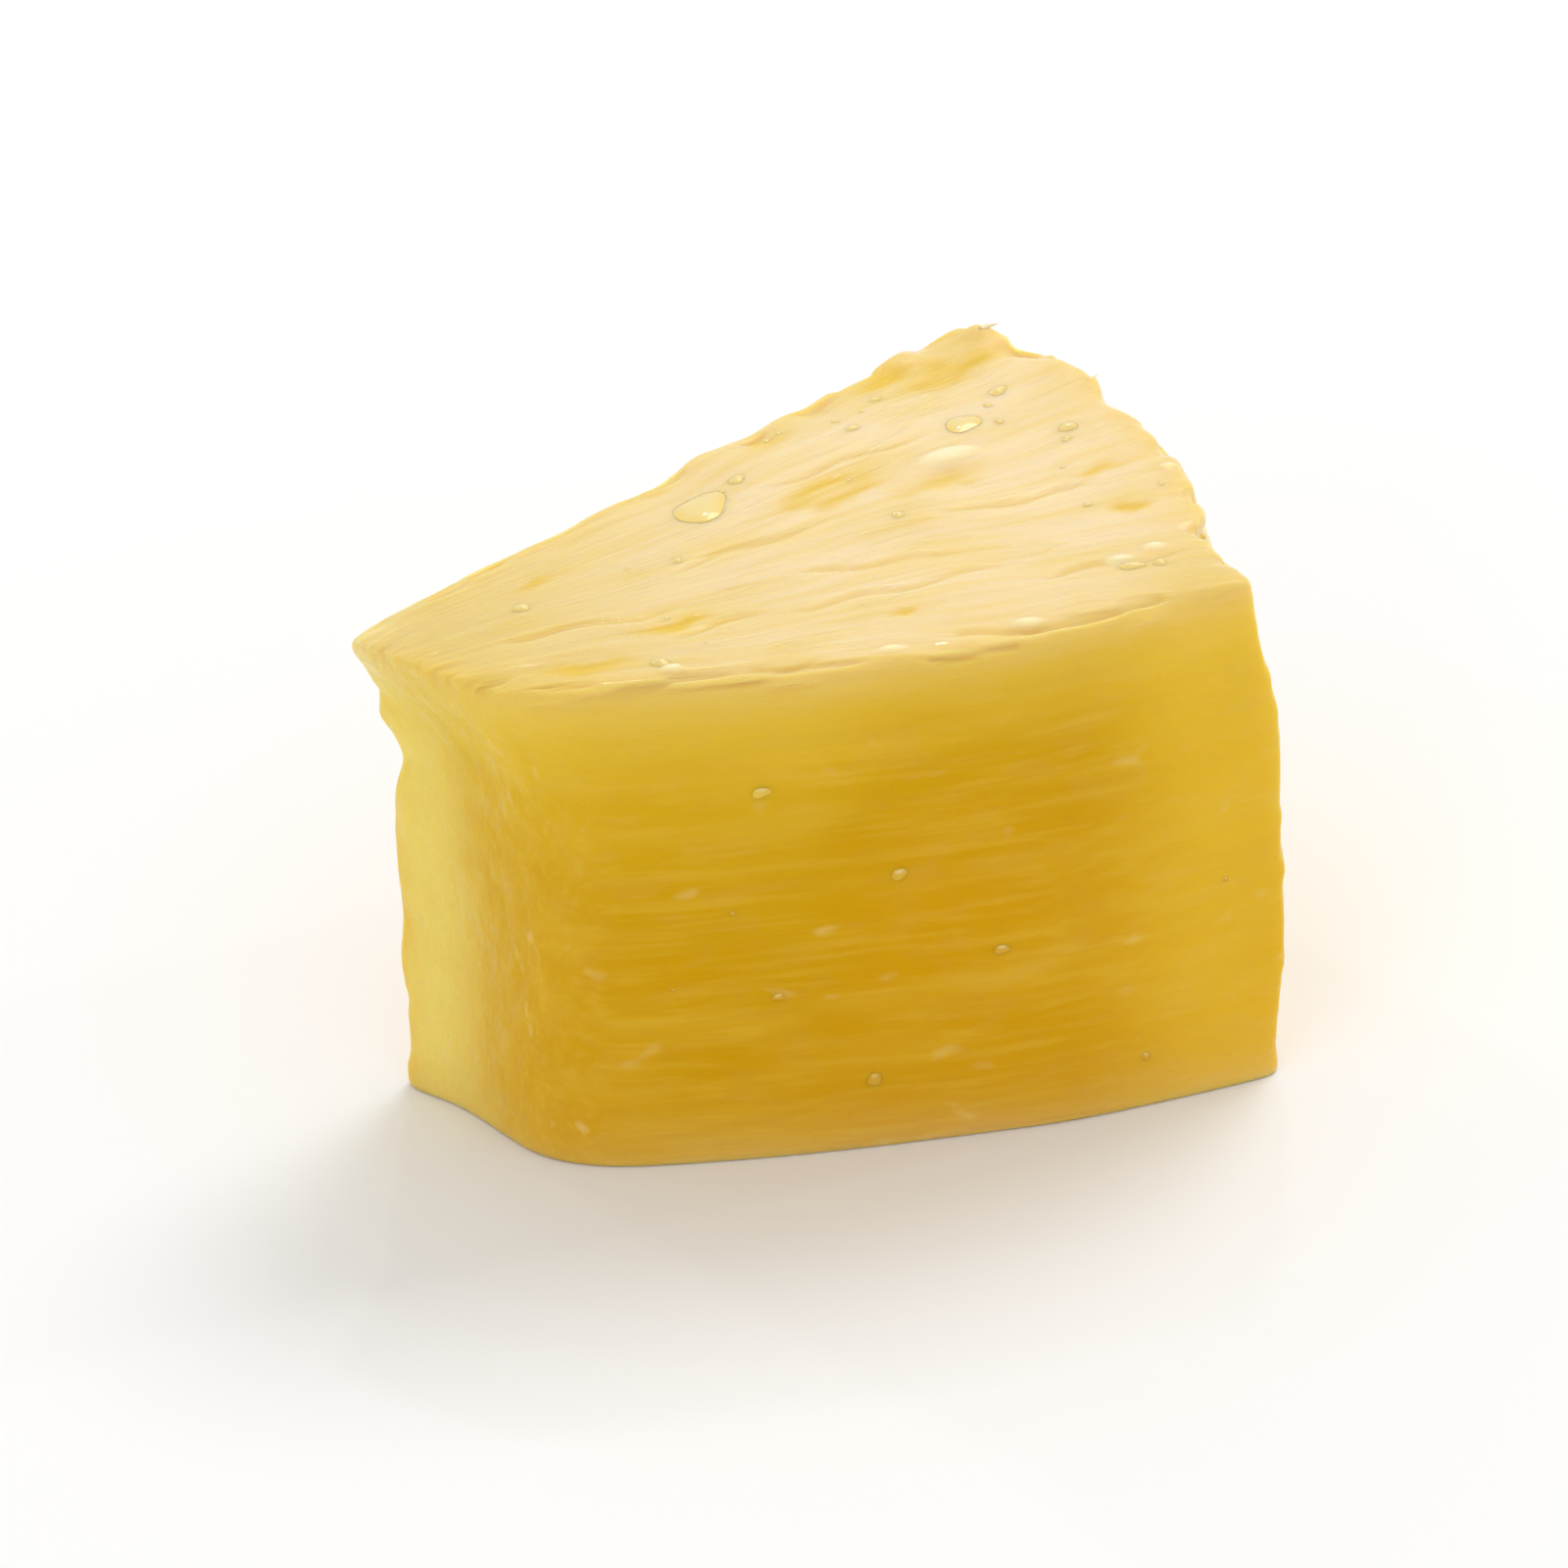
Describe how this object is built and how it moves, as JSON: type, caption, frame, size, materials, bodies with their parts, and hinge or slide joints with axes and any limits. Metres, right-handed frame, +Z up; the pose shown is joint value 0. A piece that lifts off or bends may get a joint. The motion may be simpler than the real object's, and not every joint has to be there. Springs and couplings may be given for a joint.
{
  "type": "pineapple chunk",
  "caption": "Wedge-shaped chunk of fresh pineapple, cut from a thick peeled and cored slice, with a fibrous cut top and eye hollows in its peeled face.",
  "frame": {"origin": "middle of the chunk's plan, on its flat foot", "axes": "+X from the core end to the peeled face, +Y along the slice, +Z up along the fruit's own axis"},
  "size_m": [0.0386, 0.0272, 0.0251],
  "materials": {
    "flesh": "moist, faintly translucent fruit flesh"
  },
  "bodies": {
    "root": {"chunk": "flesh"}
  },
  "joints": []
}
